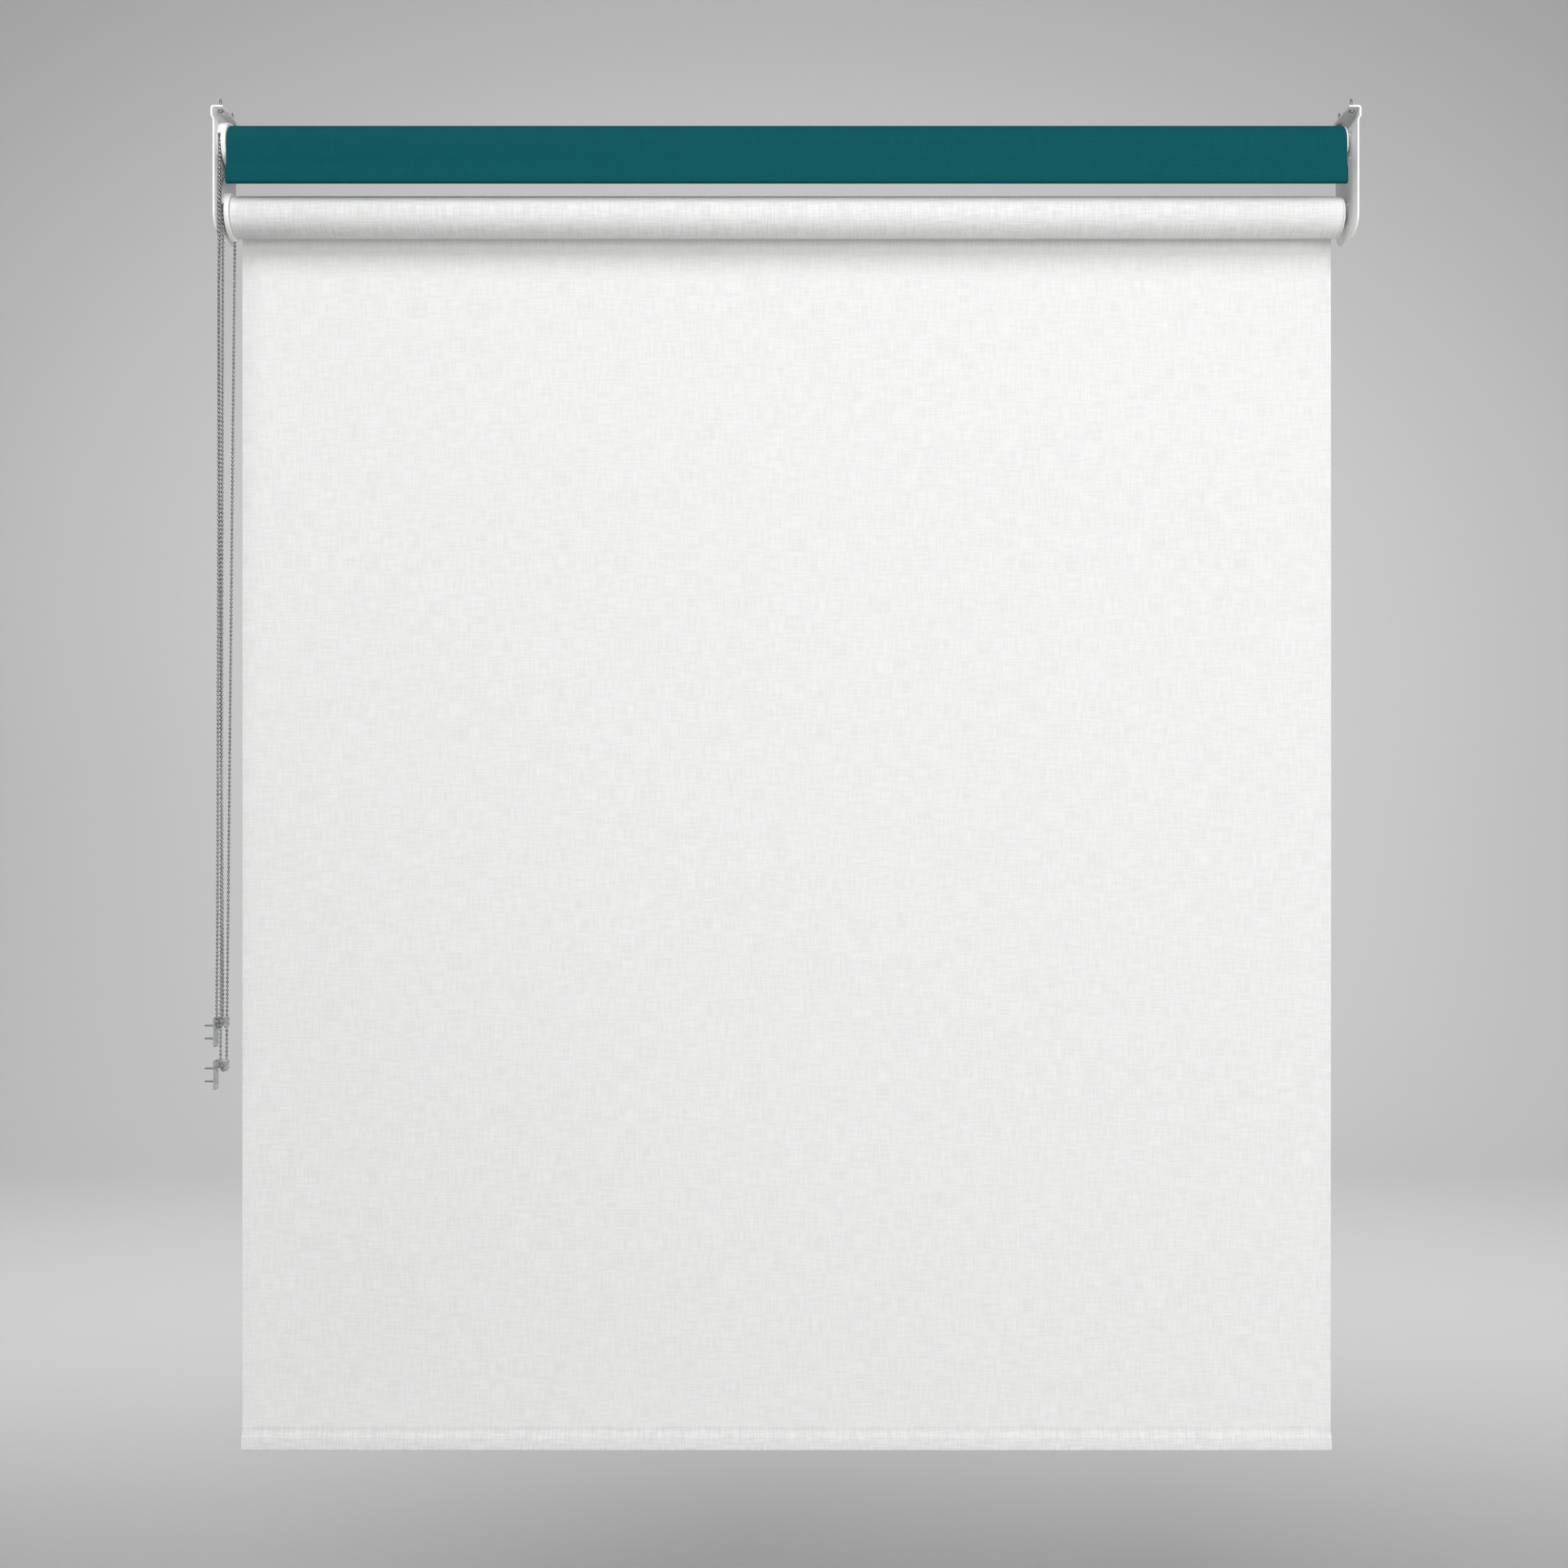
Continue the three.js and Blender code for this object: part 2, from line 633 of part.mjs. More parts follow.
// Each loop starts on top of its sprocket, comes down the front, goes round its clip's arm and
// climbs back. The upper loop's back run passes in front of the lower clutch.
const upperChain = [
  [-576.1, -7.3, -14.1], [-576.1, -16.5, -16.6], [-576.1, -23.4, -23.5], [-576.1, -25.9, -33],
  [-576.3, -26.8, -60], [-576.5, -27.4, -85], [-576.6, -27.4, -112], [-577, -26.3, -160],
  [-578.7, -22.2, -350], [-581.1, -16.9, -590], [-583.5, -11.8, -820], [-585, -9.3, -926],
  [-585, -8.1, -935], [-585, -4.7, -938.4], [-585, 0, -939.7], [-585, 4.7, -938.4],
  [-585, 8.1, -935], [-585, 9.3, -926], [-584, 5, -820], [-582.6, -4.4, -590],
  [-580.9, -14.1, -350], [-578.5, -21.7, -165], [-577, -23.7, -128], [-576.8, -24, -102],
  [-576.7, -23.7, -91], [-576.6, -22, -80], [-576.3, -17.8, -70], [-576.1, -11.2, -61.5],
  [-576.1, -3.4, -54.6], [-576.1, 4, -48.5], [-576.1, 9.4, -42.5], [-576.1, 11.9, -33],
  [-576.1, 9.4, -23.5], [-576.1, 2.5, -16.6], [-576.1, -6.7, -14.1],
];
const lowerChain = [
  [-576.1, 1.7, -83.1], [-576.1, -7.5, -85.6], [-576.1, -14.4, -92.5], [-576.1, -16.9, -102],
  [-576.2, -16.7, -130], [-576.4, -16.4, -160], [-577.5, -14.7, -350], [-578.8, -12.6, -590],
  [-580.1, -10.6, -820], [-580.9, -9.4, -950], [-581, -9.2, -972], [-581, -8.1, -979.3],
  [-581, -4.7, -982.7], [-581, 0, -984], [-581, 4.7, -982.7], [-581, 8.1, -979.3],
  [-581, 9.2, -972], [-580.9, 9.6, -950], [-580.1, 11.4, -820], [-578.8, 14.4, -590],
  [-577.5, 17.6, -350], [-576.4, 20.1, -160], [-576.2, 20.6, -130], [-576.1, 20.9, -102],
  [-576.1, 18.4, -92.5], [-576.1, 11.5, -85.6], [-576.1, 2.3, -83.1],
];

function chain(name, points) {
  const route = new Route(points.map((point) => new THREE.Vector3(...point)), false, 'centripetal');
  const section = new THREE.Shape();
  for (let side = 0; side < chainSides; side += 1) {
    const turn = (2 * Math.PI * side) / chainSides;
    const at = [(beadDiameter / 2) * Math.cos(turn), (beadDiameter / 2) * Math.sin(turn)];
    if (side === 0) section.moveTo(...at);
    else section.lineTo(...at);
  }
  const geometry = new THREE.ExtrudeGeometry(section, {
    steps: points.length - 1,
    extrudePath: route,
    curveSegments: 1,
  });
  return piece(`${name}_chain`, geometry, colours.steel);
}

const rollerBlind = new THREE.Group();
rollerBlind.add(piece('left_bracket', bracket(-1), colours.paintedSteel));
rollerBlind.add(piece('right_bracket', bracket(1), colours.paintedSteel));
rollerBlind.add(...bracketScrews(-1), ...bracketScrews(1));
rollerBlind.add(blind({
  name: 'blackout', fabric: colours.blackout, side: -1, axis: upperAxis, drop: upperHemDrop,
}));
rollerBlind.add(blind({
  name: 'sheer', fabric: colours.sheer, side: 1, axis: lowerAxis, drop: sheerDrop,
}));
rollerBlind.add(chain('blackout', upperChain), chain('sheer', lowerChain));
rollerBlind.add(chainClip('blackout', clipTops[0]), chainClip('sheer', clipTops[1]));

export default rollerBlind;
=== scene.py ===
"""A double roller blind: a blackout blind rolled up above a sheer blind that is let down."""

import json
import math
import random

import bpy
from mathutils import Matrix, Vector


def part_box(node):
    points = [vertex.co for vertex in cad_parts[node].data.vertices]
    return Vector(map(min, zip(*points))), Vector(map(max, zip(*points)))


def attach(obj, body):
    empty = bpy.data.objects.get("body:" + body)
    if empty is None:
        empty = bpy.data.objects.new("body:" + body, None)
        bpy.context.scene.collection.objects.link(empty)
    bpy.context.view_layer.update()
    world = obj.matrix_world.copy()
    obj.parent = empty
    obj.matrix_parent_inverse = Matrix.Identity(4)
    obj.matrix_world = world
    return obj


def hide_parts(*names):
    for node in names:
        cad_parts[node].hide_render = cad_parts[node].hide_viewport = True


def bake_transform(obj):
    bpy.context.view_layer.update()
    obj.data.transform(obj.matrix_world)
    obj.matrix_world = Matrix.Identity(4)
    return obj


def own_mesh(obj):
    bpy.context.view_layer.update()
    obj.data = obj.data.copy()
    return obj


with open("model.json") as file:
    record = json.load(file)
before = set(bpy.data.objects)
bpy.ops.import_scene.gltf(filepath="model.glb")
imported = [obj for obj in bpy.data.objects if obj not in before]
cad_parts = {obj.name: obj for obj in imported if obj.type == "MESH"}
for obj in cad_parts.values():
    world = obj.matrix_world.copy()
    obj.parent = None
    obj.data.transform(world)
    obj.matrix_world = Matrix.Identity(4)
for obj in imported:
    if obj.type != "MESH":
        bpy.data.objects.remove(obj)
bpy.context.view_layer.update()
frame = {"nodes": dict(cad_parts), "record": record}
record = frame["record"]

# Sizes, in metres
BEAD = 0.0032
BEAD_PITCH = 0.00425
BEADS_ROUND = 28
LINK = 0.0009
CHAIN_PLANE = -0.5761  # where along X the chains lie on their wheels
RIM_INSIDE = 0.0158
RIM_BELOW_PITCH = 0.0006
POCKET_EASE = 0.00012
CLOTH = 0.00045
WOUND_DEPTH = 0.0047
ROLL_TURNS = 10
TURN_STAGGER = 0.0003  # the most that a turn's edge lies inside the roll's end
TURN_GROOVE = 0.0005  # how deep the groove between two turns is
WRAP_STEPS = 12
SWAY = 0.0009
# Each wave in the hanging cloth: its share of the sway, then its rates across the cloth and down it
WAVES = ((1, 7.3, 2.1), (0.4, 23, -5))
WELD = 0.003
HEM_STRAIGHT = 0.012
BRAKE_COIL = {"radius": 0.0069, "wire": 0.0011, "turns": 12}
PUSH_COIL = {"radius": 0.0044, "wire": 0.0011, "turns": 8}
RECESS_WIDTH = 0.0007
THREAD_PITCH = 0.0011
MERGE = 1e-6

# How far the edges of each piece that keeps its frame node's shape are broken
BEVELS = {
    "clutch_base": 0.00025,
    "clutch_cover": 0.0005,
    "drive_plug": 0.0003,
    "roller_tube": 0.0001,
    "fabric_key": 0.0003,
    "idle_plug": 0.0003,
    "idle_pin": 0.0003,
    "bottom_bar": 0.0,
    "bar_cap_left": 0.0003,
    "bar_cap_right": 0.0003,
    "chain_clip": 0.00035,
}

BLINDS = ("blackout", "sheer")
BODY_OF = {node: body for body, nodes in record["behaviour"]["bodies"].items() for node in nodes}
SLOT_OF = {part["node"]: part["material_slot"] for part in record["subparts"]}
JOINTS = {joint["name"]: joint for joint in record["behaviour"]["joints"]}
AXIS_OF = {blind: Vector(JOINTS[f"{blind}_roll_turn"]["pos_m"]) for blind in BLINDS}


# Camera

def add_camera():
    """Level, facing the blind square on, half way up it."""
    bpy.ops.object.camera_add(location=(-0.0019, -1.745, -0.688), rotation=(math.pi / 2, 0, 0))
    camera = bpy.context.object
    camera.name = "camera"
    camera.data.sensor_width = 36
    camera.data.lens = 38.76
    bpy.context.scene.camera = camera


add_camera()


# Hand tools

def let_go():
    """Leaves edit mode with nothing selected."""
    if bpy.context.object and bpy.context.object.mode != "OBJECT":
        bpy.ops.object.mode_set(mode="OBJECT")
    bpy.ops.object.select_all(action="DESELECT")


def pick(*pieces):
    """Selects these pieces only, and makes the last one active."""
    let_go()
    for piece in pieces:
        piece.select_set(True)
    bpy.context.view_layer.objects.active = pieces[-1]
    return pieces[-1]


def start(name):
    """Names the primitive that was just added."""
    piece = bpy.context.object
    piece.name = name
    piece.data.name = name
    return piece


def edit(piece, mode="VERT"):
    pick(piece)
    bpy.ops.object.mode_set(mode="EDIT")
    bpy.ops.mesh.select_mode(type=mode)
    bpy.ops.mesh.select_all(action="SELECT")


def settle(piece):
    """Puts the piece's place, turn and scale into its mesh."""
    pick(piece)
    bpy.ops.object.transform_apply(location=True, rotation=True, scale=True)
    return piece


def use(piece, kind, **values):
    """Adds a modifier and applies it."""
    pick(piece)
    modifier = piece.modifiers.new(kind.lower(), kind)
    for word, value in values.items():
        setattr(modifier, word, value)
    bpy.ops.object.modifier_apply(modifier=modifier.name)
    return piece


def smooth(piece, degrees=35):
    pick(piece)
    bpy.ops.object.shade_smooth_by_angle(angle=math.radians(degrees))
    return piece


def join(name, *pieces):
    pick(*pieces)
    bpy.ops.object.join()
    return start(name)


def copy_of(piece, name):
    pick(piece)
    bpy.ops.object.duplicate()
    return start(name)


def discard(*pieces):
    pick(*pieces)
    bpy.ops.object.delete()


def cut(piece, tool):
    """Cuts the tool's shape out of the piece and throws the tool away."""
    use(piece, "BOOLEAN", operation="DIFFERENCE", object=tool, solver="EXACT")
    discard(tool)
    return piece


def line(name, points):
    """Edges through the points, extruded one after another from a single vertex."""
    let_go()
    bpy.ops.mesh.primitive_plane_add(size=0.001)
    piece = start(name)
    edit(piece)
    bpy.ops.mesh.merge(type="CENTER")
    bpy.ops.transform.translate(value=points[0])
    for here, there in zip(points, points[1:]):
        step = Vector(there) - Vector(here)
        bpy.ops.mesh.extrude_region_move(TRANSFORM_OT_translate={"value": step})
    return piece


def turned(name, profile, axis, steps=64):
    """A body of revolution along X. The profile is a list of (x, radius) from its low end out and back."""
    points = [(x, axis.y, axis.z + radius) for x, radius in profile]
    piece = line(name, points)
    bpy.ops.mesh.select_all(action="SELECT")
    bpy.ops.mesh.spin(steps=steps, angle=2 * math.pi, center=(0, axis.y, axis.z), axis=(1, 0, 0))
    bpy.ops.mesh.select_all(action="SELECT")
    bpy.ops.mesh.remove_doubles(threshold=MERGE)
    bpy.ops.mesh.normals_make_consistent(inside=False)
    let_go()
    return piece


def along_x(name, outline, x0, x1, steps):
    """A sheet drawn out along X from a line of (y, z) points."""
    piece = line(name, [(x0, y, z) for y, z in outline])
    bpy.ops.mesh.select_all(action="SELECT")
    for _ in range(steps):
        bpy.ops.mesh.extrude_region_move(TRANSFORM_OT_translate={"value": ((x1 - x0) / steps, 0, 0)})
    bpy.ops.mesh.select_all(action="SELECT")
    bpy.ops.mesh.normals_make_consistent(inside=False)
    let_go()
    return piece


def refined(node, bevel=0.0003, segments=2):
    """A copy of a frame node with its flat faces joined up, its edges broken and its curves smooth."""
    source = frame["nodes"][node]
    piece = copy_of(source, f"{node}_finished")
    piece.parent = None
    edit(piece)
    bpy.ops.mesh.remove_doubles(threshold=MERGE)
    bpy.ops.mesh.dissolve_limited(angle_limit=math.radians(1))
    let_go()
    if bevel:
        use(piece, "BEVEL", width=bevel, segments=segments, limit_method="ANGLE",
            angle_limit=math.radians(40), use_clamp_overlap=True)
    return smooth(piece)


def stand_for(piece, part, finish):
    """Gives the piece its finish and puts it in the place of the frame's node."""
    piece.data.materials.clear()
    piece.data.materials.append(finish)
    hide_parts(part)
    return piece


def fit(piece, part, finish):
    """The same, and the piece rides where the node does."""
    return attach(stand_for(piece, part, finish), BODY_OF[part])


# Finishes

def new_finish(name, colour, roughness, metallic=0.0):
    """A finish with its colour and roughness on the shader's own sockets."""
    finish = bpy.data.materials.new(name)
    finish.use_nodes = True
    shader = finish.node_tree.nodes["Principled BSDF"]
    shader.inputs["Base Color"].default_value = (*colour, 1)
    shader.inputs["Roughness"].default_value = roughness
    shader.inputs["Metallic"].default_value = metallic
    return finish, shader


def node(finish, kind, **values):
    made = finish.node_tree.nodes.new(kind)
    for word, value in values.items():
        setattr(made, word, value)
    return made


def link(finish, source, target):
    finish.node_tree.links.new(source, target)


def placed(finish, scale, source="Object"):
    """Coordinates stretched by scale: the piece's own place, or its cloth map."""
    mapping = node(finish, "ShaderNodeMapping")
    mapping.inputs["Scale"].default_value = scale
    if source == "Object":
        link(finish, node(finish, "ShaderNodeTexCoord").outputs["Object"], mapping.inputs["Vector"])
    else:
        link(finish, node(finish, "ShaderNodeUVMap", uv_map=source).outputs["UV"], mapping.inputs["Vector"])
    return mapping.outputs["Vector"]


def grain(finish, scale, detail=3.0, source="Object"):
    """Noise whose scale along each axis is given in lumps to the metre."""
    noise = node(finish, "ShaderNodeTexNoise")
    noise.inputs["Scale"].default_value = 1
    noise.inputs["Detail"].default_value = detail
    link(finish, placed(finish, scale, source), noise.inputs["Vector"])
    return noise.outputs["Fac"]


def ramp(finish, source, low, high, first=0.3, last=0.7):
    """The source, from first to last, spread between two colours."""
    made = node(finish, "ShaderNodeValToRGB")
    made.color_ramp.elements[0].position = first
    made.color_ramp.elements[1].position = last
    made.color_ramp.elements[0].color = (*low, 1)
    made.color_ramp.elements[1].color = (*high, 1)
    link(finish, source, made.inputs["Fac"])
    return made.outputs["Color"]


def spread(finish, source, low, high, most=1.0):
    """The source, which runs from 0 to most, spread between two values."""
    made = node(finish, "ShaderNodeMapRange")
    made.inputs["From Max"].default_value = most
    made.inputs["To Min"].default_value = low
    made.inputs["To Max"].default_value = high
    link(finish, source, made.inputs["Value"])
    return made.outputs["Result"]


def raise_by(finish, shader, height, depth, strength=1.0):
    """Bumps the shader's surface by the height, depth metres deep."""
    bump = node(finish, "ShaderNodeBump")
    bump.inputs["Strength"].default_value = strength
    bump.inputs["Distance"].default_value = depth
    link(finish, height, bump.inputs["Height"])
    link(finish, bump.outputs["Normal"], shader.inputs["Normal"])


def total(finish, *sources):
    """The sum of several values."""
    result = sources[0]
    for source in sources[1:]:
        made = node(finish, "ShaderNodeMath", operation="ADD")
        link(finish, result, made.inputs[0])
        link(finish, source, made.inputs[1])
        result = made.outputs["Value"]
    return result


def powder_coat():
    finish, shader = new_finish("powder_coat", (0.84, 0.84, 0.83), 0.4)
    link(finish, spread(finish, grain(finish, (90, 90, 90)), 0.34, 0.5), shader.inputs["Roughness"])
    link(finish, ramp(finish, grain(finish, (25, 25, 25)), (0.80, 0.80, 0.79), (0.86, 0.86, 0.855)),
         shader.inputs["Base Color"])
    raise_by(finish, shader, grain(finish, (1400, 1400, 1400), 2), 0.00004)
    return finish


def moulded(name, low, high, roughness):
    """A moulded plastic with a fine spark-eroded texture and faint flow marks."""
    finish, shader = new_finish(name, high, roughness)
    link(finish, ramp(finish, grain(finish, (60, 160, 160)), low, high), shader.inputs["Base Color"])
    link(finish, spread(finish, grain(finish, (300, 300, 300)), roughness - 0.08, roughness + 0.08),
         shader.inputs["Roughness"])
    raise_by(finish, shader, grain(finish, (3500, 3500, 3500), 2), 0.00002)
    return finish


def clear_plastic():
    finish, shader = new_finish("clear_plastic", (0.66, 0.68, 0.69), 0.2)
    shader.inputs["IOR"].default_value = 1.49
    shader.inputs["Transmission Weight"].default_value = 0.6
    link(finish, spread(finish, grain(finish, (200, 200, 200)), 0.14, 0.3), shader.inputs["Roughness"])
    raise_by(finish, shader, grain(finish, (500, 500, 500), 1), 0.00003)
    return finish


def metal(name, low, high, roughness, scale):
    """A metal whose grain runs the way that scale stretches it."""
    finish, shader = new_finish(name, high, roughness, metallic=1.0)
    marks = grain(finish, scale, 4)
    link(finish, ramp(finish, marks, low, high), shader.inputs["Base Color"])
    link(finish, spread(finish, marks, roughness - 0.1, roughness + 0.1), shader.inputs["Roughness"])
    raise_by(finish, shader, marks, 0.00001)
    return finish


def threads(finish, pitch, direction):
    """Fine round threads side by side on the cloth map."""
    wave = node(finish, "ShaderNodeTexWave", wave_type="BANDS", bands_direction=direction)
    wave.inputs["Scale"].default_value = math.pi / (10 * pitch)
    wave.inputs["Distortion"].default_value = 0.6
    wave.inputs["Detail"].default_value = 1
    link(finish, placed(finish, (1, 1, 1), "cloth"), wave.inputs["Vector"])
    return wave.outputs["Fac"]


def weave(name, low, high, pitch, slub, gloss, sheen, relief, see_through):
    """A plain weave: threads both ways, thicker ones here and there, and light through the cloth.
    A slub's two numbers are lumps to the metre along its thread and across it."""
    finish, shader = new_finish(name, high, 0.85)
    along, beside = slub
    weft = grain(finish, (along, beside, 1), 3, "cloth")
    warp = grain(finish, (beside, along, 1), 3, "cloth")
    uneven = spread(finish, total(finish, weft, warp), 0, 1, most=2)
    link(finish, ramp(finish, uneven, low, high, 0.4, 0.6), shader.inputs["Base Color"])
    link(finish, spread(finish, uneven, 0.75, 0.95), shader.inputs["Roughness"])
    shader.inputs["Sheen Weight"].default_value = sheen
    shader.inputs["Sheen Roughness"].default_value = 0.5
    shader.inputs["Specular IOR Level"].default_value = gloss
    height = total(finish, threads(finish, pitch, "X"), threads(finish, pitch, "Y"), uneven)
    raise_by(finish, shader, height, 0.00012, relief)
    if see_through:
        glow = node(finish, "ShaderNodeBsdfTranslucent")
        glow.inputs["Color"].default_value = (*high, 1)
        mix = node(finish, "ShaderNodeMixShader")
        mix.inputs["Fac"].default_value = see_through
        link(finish, shader.outputs["BSDF"], mix.inputs[1])
        link(finish, glow.outputs["BSDF"], mix.inputs[2])
        output = finish.node_tree.nodes["Material Output"]
        link(finish, mix.outputs["Shader"], output.inputs["Surface"])
    return finish


SHEER_THREADS = {"pitch": 0.0006, "slub": (45, 620), "gloss": 0.2, "sheen": 0.1, "relief": 0.6}

FINISHES = {
    "painted_steel": powder_coat(),
    "white_plastic": moulded("white_plastic", (0.80, 0.80, 0.79), (0.86, 0.86, 0.85), 0.42),
    "grey_plastic": moulded("grey_plastic", (0.42, 0.43, 0.43), (0.5, 0.51, 0.51), 0.45),
    "clear_plastic": clear_plastic(),
    "steel": metal("zinc_plate", (0.38, 0.39, 0.40), (0.54, 0.55, 0.56), 0.32, (900, 900, 900)),
    "chain_steel": metal("dark_nickel", (0.28, 0.285, 0.29), (0.44, 0.445, 0.45), 0.28, (600, 600, 600)),
    "aluminium": metal("drawn_aluminium", (0.62, 0.63, 0.64), (0.76, 0.77, 0.78), 0.34, (4, 1500, 1500)),
    "blackout_fabric": weave(
        "blackout_cloth", (0.0014, 0.071, 0.084), (0.0020, 0.080, 0.094),
        pitch=0.0005, slub=(40, 700), gloss=0.1, sheen=0, relief=0.25, see_through=0),
    "sheer_fabric": weave(
        "sheer_cloth", (0.84, 0.84, 0.835), (0.95, 0.95, 0.945), see_through=0.35, **SHEER_THREADS),
}

# Cloth that lies on cloth, in the roll and round the hem, lets no light through. The sheer's copy is also
# painted darker than the hanging sheer, as painted shade on the roll and hem
LAYERED_WITH_PAINTED_SHADE = {
    "blackout": FINISHES["blackout_fabric"],
    "sheer": weave(
        # The sheer cloth again, but darker: its lower colours are painted shade for the wound roll and the
        # hem
        "sheer_cloth_layered_painted_shade", (0.70, 0.70, 0.695), (0.82, 0.82, 0.815), see_through=0, **SHEER_THREADS),
}


# Chains

UPPER_CHAIN = [
    (-0.5761, -0.0073, -0.0141), (-0.5761, -0.0165, -0.0166), (-0.5761, -0.0234, -0.0235),
    (-0.5761, -0.0259, -0.033), (-0.5763, -0.0268, -0.06), (-0.5765, -0.0274, -0.085),
    (-0.5766, -0.0274, -0.112), (-0.577, -0.0263, -0.16), (-0.5787, -0.0222, -0.35),
    (-0.5811, -0.0169, -0.59), (-0.5835, -0.0118, -0.82), (-0.585, -0.0093, -0.926),
    (-0.585, -0.0081, -0.935), (-0.585, -0.0047, -0.9384), (-0.585, 0, -0.9397),
    (-0.585, 0.0047, -0.9384), (-0.585, 0.0081, -0.935), (-0.585, 0.0093, -0.926),
    (-0.584, 0.005, -0.82), (-0.5826, -0.0044, -0.59), (-0.5809, -0.0141, -0.35),
    (-0.5785, -0.0217, -0.165), (-0.577, -0.0237, -0.128), (-0.5768, -0.024, -0.102),
    (-0.5767, -0.0237, -0.091), (-0.5766, -0.022, -0.08), (-0.5763, -0.0178, -0.07),
    (-0.5761, -0.0112, -0.0615), (-0.5761, -0.0034, -0.0546), (-0.5761, 0.004, -0.0485),
    (-0.5761, 0.0094, -0.0425), (-0.5761, 0.0119, -0.033), (-0.5761, 0.0094, -0.0235),
    (-0.5761, 0.0025, -0.0166), (-0.5761, -0.0067, -0.0141),
]
LOWER_CHAIN = [
    (-0.5761, 0.0017, -0.0831), (-0.5761, -0.0075, -0.0856), (-0.5761, -0.0144, -0.0925),
    (-0.5761, -0.0169, -0.102), (-0.5762, -0.0167, -0.13), (-0.5764, -0.0164, -0.16),
    (-0.5775, -0.0147, -0.35), (-0.5788, -0.0126, -0.59), (-0.5801, -0.0106, -0.82),
    (-0.5809, -0.0094, -0.95), (-0.581, -0.0092, -0.972), (-0.581, -0.0081, -0.9793),
    (-0.581, -0.0047, -0.9827), (-0.581, 0, -0.984), (-0.581, 0.0047, -0.9827),
    (-0.581, 0.0081, -0.9793), (-0.581, 0.0092, -0.972), (-0.5809, 0.0096, -0.95),
    (-0.5801, 0.0114, -0.82), (-0.5788, 0.0144, -0.59), (-0.5775, 0.0176, -0.35),
    (-0.5764, 0.0201, -0.16), (-0.5762, 0.0206, -0.13), (-0.5761, 0.0209, -0.102),
    (-0.5761, 0.0184, -0.0925), (-0.5761, 0.0115, -0.0856), (-0.5761, 0.0023, -0.0831),
]


def through(points, steps=14):
    """A smooth line through the points, tightest where they are closest together."""
    points = [Vector(point) for point in points]
    ends = [2 * points[0] - points[1], *points, 2 * points[-1] - points[-2]]
    route = []
    for a, b, c, d in zip(ends, ends[1:], ends[2:], ends[3:]):
        first = (b - a).length ** 0.5
        middle = (c - b).length ** 0.5
        last = (d - c).length ** 0.5
        leaving = ((b - a) / first - (c - a) / (first + middle)) * middle + (c - b)
        arriving = ((d - c) / last - (d - b) / (middle + last)) * middle + (c - b)
        for step in range(steps):
            t = step / steps
            route.append(
                b * (2 * t**3 - 3 * t**2 + 1) + leaving * (t**3 - 2 * t**2 + t)
                + c * (3 * t**2 - 2 * t**3) + arriving * (t**3 - t**2)
            )
    return [*route, points[-1]]


def length_of(route):
    return sum((there - here).length for here, there in zip(route, route[1:]))


def bead_chain(name, points, node_name):
    """Hollow beads on short links, laid along the loop's route."""
    route = through(points)
    length = length_of(route)
    count = round((length + (route[0] - route[-1]).length) / BEAD_PITCH)
    pitch = length / count
    let_go()
    bpy.ops.mesh.primitive_uv_sphere_add(
        segments=8, ring_count=6, radius=BEAD / 2, location=(pitch / 2, 0, 0), rotation=(0, math.pi / 2, 0))
    bead = start("bead")
    bpy.ops.mesh.primitive_cylinder_add(
        vertices=5, radius=LINK / 2, depth=pitch, end_fill_type="NOTHING",
        location=(pitch / 2, 0, 0), rotation=(0, math.pi / 2, 0))
    chain = settle(join(name, bead, start("link")))
    use(chain, "ARRAY", count=count, use_relative_offset=False, use_constant_offset=True,
        constant_offset_displace=(pitch, 0, 0))
    curve = bpy.data.curves.new("route", "CURVE")
    curve.dimensions = "3D"
    spline = curve.splines.new("POLY")
    spline.points.add(len(route) - 1)
    for knot, place in zip(spline.points, route):
        knot.co = (*place, 1)
    guide = bpy.data.objects.new("route", curve)
    bpy.context.collection.objects.link(guide)
    use(chain, "CURVE", object=guide, deform_axis="POS_X")
    discard(guide)
    smooth(chain, 60)
    fit(chain, node_name, FINISHES["chain_steel"])
    print(f"{name}: {count} beads, {length:.4f} m")
    return chain


bead_chain("blackout_bead_chain", UPPER_CHAIN, "blackout_chain")
bead_chain("sheer_bead_chain", LOWER_CHAIN, "sheer_chain")


# Chain wheels

def chain_wheel(blind):
    """A wheel with a round pocket for each bead, on the hub that turns the tube."""
    axis = AXIS_OF[blind]
    low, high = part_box(f"{blind}_sprocket")
    pitch_radius = BEAD_PITCH * BEADS_ROUND / (2 * math.pi)
    rim = pitch_radius - RIM_BELOW_PITCH
    width = 2 * (CHAIN_PLANE - low[0])
    hub = refined(f"{blind}_sprocket")
    ring = turned(
        f"{blind}_pocket_ring",
        [(low[0], RIM_INSIDE), (low[0], rim), (low[0] + width, rim),
         (low[0] + width, RIM_INSIDE), (low[0], RIM_INSIDE)],
        axis, 4 * BEADS_ROUND,
    )
    let_go()
    bpy.ops.mesh.primitive_uv_sphere_add(
        segments=12, ring_count=8, radius=BEAD / 2 + POCKET_EASE,
        location=(low[0] + width / 2, axis.y, axis.z + pitch_radius))
    pockets = start("pockets")
    settle(pockets)
    edit(pockets)
    bpy.ops.mesh.spin(steps=BEADS_ROUND, dupli=True, angle=2 * math.pi,
                      center=(0, axis.y, axis.z), axis=(1, 0, 0))
    bpy.ops.mesh.select_all(action="SELECT")
    bpy.ops.mesh.remove_doubles(threshold=MERGE)
    bpy.ops.mesh.normals_make_consistent(inside=False)
    let_go()
    cut(ring, pockets)
    wheel = join(f"{blind}_bead_wheel", ring, hub)
    smooth(wheel)
    return fit(wheel, f"{blind}_sprocket", FINISHES["grey_plastic"])


# Cloth

